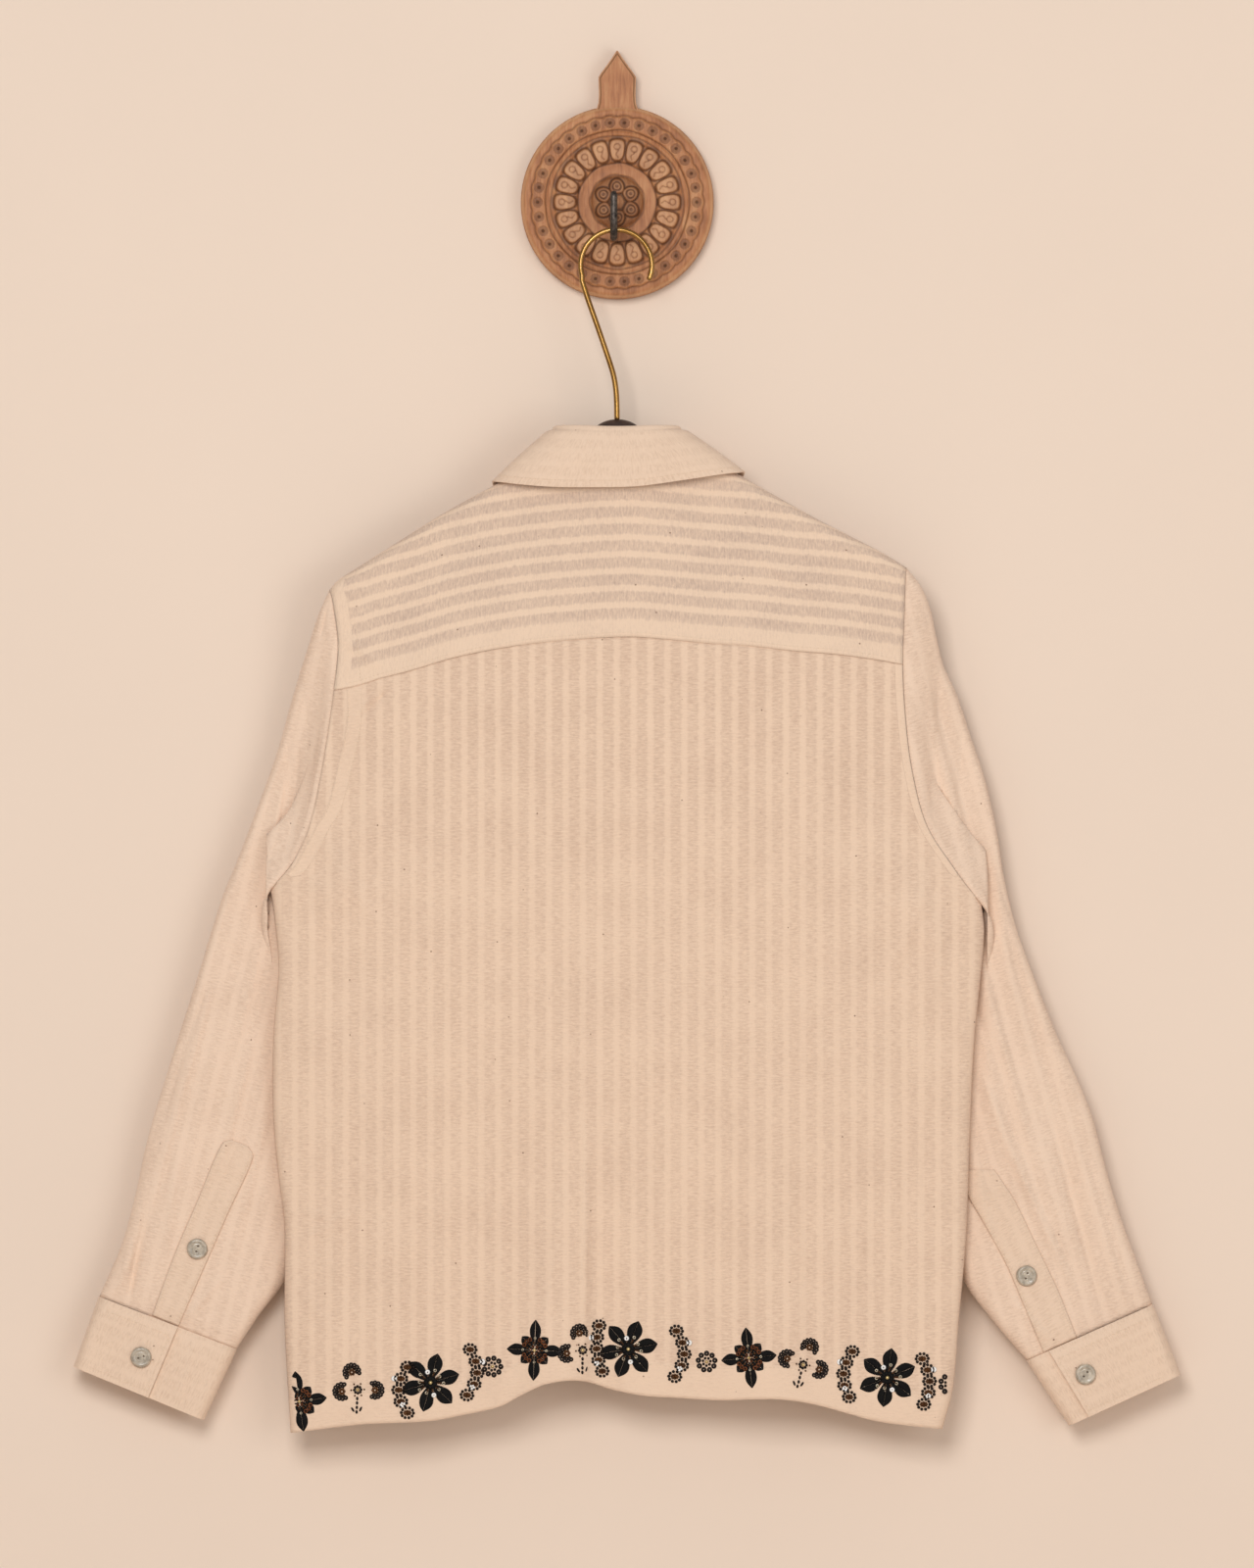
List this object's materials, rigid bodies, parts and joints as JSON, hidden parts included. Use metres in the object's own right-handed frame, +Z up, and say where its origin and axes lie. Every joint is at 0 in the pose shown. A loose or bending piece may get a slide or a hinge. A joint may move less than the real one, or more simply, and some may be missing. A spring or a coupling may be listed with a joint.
{
  "type": "khadi shirt on a hanger and wall hook",
  "caption": "Boxy long-sleeved handloom cotton shirt, hung on a wire-hooked hanger from a carved wooden wall hook, its back to the room.",
  "frame": {"origin": "centre of the wall roundel's flat back, on the wall", "axes": "+X to the right as one faces the shirt's back, +Y into the wall, +Z up"},
  "size_m": [0.837, 0.0686, 1.0437],
  "materials": {
    "khadi_cotton": "hand-spun, hand-woven cotton with self stripes, matt",
    "doubled_khadi": "the same cotton doubled, matt",
    "button_shell": "polished shell",
    "hanger_wood": "dark stain, satin",
    "brass_wire": "drawn, slightly dulled",
    "forged_iron": "forged, blackened",
    "carved_wood": "carved and waxed"
  },
  "bodies": {
    "root": {"back": "khadi_cotton", "yoke": "khadi_cotton", "front_left": "khadi_cotton", "front_right": "khadi_cotton", "sleeve_left": "khadi_cotton", "sleeve_right": "khadi_cotton", "cuff_left": "doubled_khadi", "cuff_right": "doubled_khadi", "sleeve_placket_left": "doubled_khadi", "sleeve_placket_right": "doubled_khadi", "collar_leaf": "doubled_khadi", "collar_stand": "doubled_khadi", "button_placket_left": "button_shell", "button_placket_right": "button_shell", "button_cuff_left": "button_shell", "button_cuff_right": "button_shell", "button_front_1": "button_shell", "button_front_2": "button_shell", "button_front_3": "button_shell", "button_front_4": "button_shell", "button_front_5": "button_shell", "button_front_6": "button_shell", "hanger_body": "hanger_wood", "hanger_wire": "brass_wire", "wall_hook": "forged_iron", "wall_roundel": "carved_wood"}
  },
  "joints": []
}
